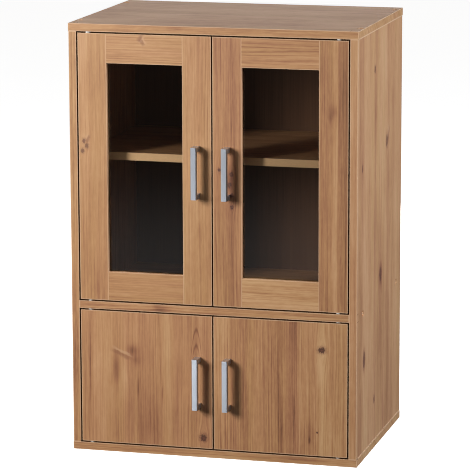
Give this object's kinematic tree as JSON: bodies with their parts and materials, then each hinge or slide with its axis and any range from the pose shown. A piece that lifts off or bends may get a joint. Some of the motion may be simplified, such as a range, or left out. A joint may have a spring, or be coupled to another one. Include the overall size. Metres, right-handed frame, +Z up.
{
  "type": "pantry cabinet",
  "caption": "Free-standing pantry cabinet in knotty pine board with glazed doors over a shelf, solid doors below, pin hinges and bow handles.",
  "frame": {"origin": "middle of the bottom board's underside, on the floor", "axes": "+Z up; the doors face -Y; +X to the right of someone facing the doors"},
  "size_m": [0.6, 0.448, 0.885],
  "materials": {
    "pine_board": "knotty pine foil on particle board, satin",
    "back_panel_board": "thin pine-print fibre board, satin",
    "beech": "plain turned beech",
    "glass": "clear float glass",
    "handle_metal": "satin anodised",
    "zinc_steel": "zinc plated",
    "white_plastic": "moulded, white",
    "tan_plastic": "moulded, wood coloured",
    "brown_plastic": "moulded, dark brown",
    "magnet": "sintered ferrite, dark grey"
  },
  "bodies": {
    "carcass": {"back_panel": "back_panel_board", "bottom_board": "pine_board", "bottom_board_bushes": "white_plastic", "bottom_screw_caps": "tan_plastic", "bottom_screws": "zinc_steel", "carcass_dowels": "beech", "catch_screws": "zinc_steel", "left_side_board": "pine_board", "lower_catch_housing": "brown_plastic", "lower_catch_magnets": "magnet", "middle_board": "pine_board", "middle_board_lower_bushes": "white_plastic", "middle_board_upper_bushes": "white_plastic", "middle_screw_caps": "tan_plastic", "middle_screws": "zinc_steel", "right_side_board": "pine_board", "shelf": "pine_board", "shelf_pins": "zinc_steel", "top_board": "pine_board", "top_board_bushes": "white_plastic", "top_screw_caps": "tan_plastic", "top_screws": "zinc_steel", "upper_catch_housing": "brown_plastic", "upper_catch_magnets": "magnet"},
    "upper_left_door": {"upper_left_bottom_rail": "pine_board", "upper_left_frame_dowels": "beech", "upper_left_glass": "glass", "upper_left_glass_beads": "brown_plastic", "upper_left_handle": "handle_metal", "upper_left_handle_screws": "zinc_steel", "upper_left_hinge_stile": "pine_board", "upper_left_lock_stile": "pine_board", "upper_left_pivot_pins": "zinc_steel", "upper_left_strike_plate": "zinc_steel", "upper_left_strike_screw": "zinc_steel", "upper_left_top_rail": "pine_board"},
    "upper_right_door": {"upper_right_bottom_rail": "pine_board", "upper_right_frame_dowels": "beech", "upper_right_glass": "glass", "upper_right_glass_beads": "brown_plastic", "upper_right_handle": "handle_metal", "upper_right_handle_screws": "zinc_steel", "upper_right_hinge_stile": "pine_board", "upper_right_lock_stile": "pine_board", "upper_right_pivot_pins": "zinc_steel", "upper_right_strike_plate": "zinc_steel", "upper_right_strike_screw": "zinc_steel", "upper_right_top_rail": "pine_board"},
    "lower_left_door": {"lower_left_handle": "handle_metal", "lower_left_handle_screws": "zinc_steel", "lower_left_panel": "pine_board", "lower_left_pivot_pins": "zinc_steel", "lower_left_strike_plate": "zinc_steel", "lower_left_strike_screw": "zinc_steel"},
    "lower_right_door": {"lower_right_handle": "handle_metal", "lower_right_handle_screws": "zinc_steel", "lower_right_panel": "pine_board", "lower_right_pivot_pins": "zinc_steel", "lower_right_strike_plate": "zinc_steel", "lower_right_strike_screw": "zinc_steel"}
  },
  "joints": [
    {"name": "upper_left_door_hinge", "type": "hinge", "parent": "carcass", "child": "upper_left_door", "pos_m": [-0.26, -0.202, 0.592], "axis": [0, 0, -1], "range_deg": [0, 140]},
    {"name": "upper_right_door_hinge", "type": "hinge", "parent": "carcass", "child": "upper_right_door", "pos_m": [0.26, -0.202, 0.592], "axis": [0, 0, 1], "range_deg": [0, 140]},
    {"name": "lower_left_door_hinge", "type": "hinge", "parent": "carcass", "child": "lower_left_door", "pos_m": [-0.26, -0.202, 0.1575], "axis": [0, 0, -1], "range_deg": [0, 140]},
    {"name": "lower_right_door_hinge", "type": "hinge", "parent": "carcass", "child": "lower_right_door", "pos_m": [0.26, -0.202, 0.1575], "axis": [0, 0, 1], "range_deg": [0, 140]}
  ]
}
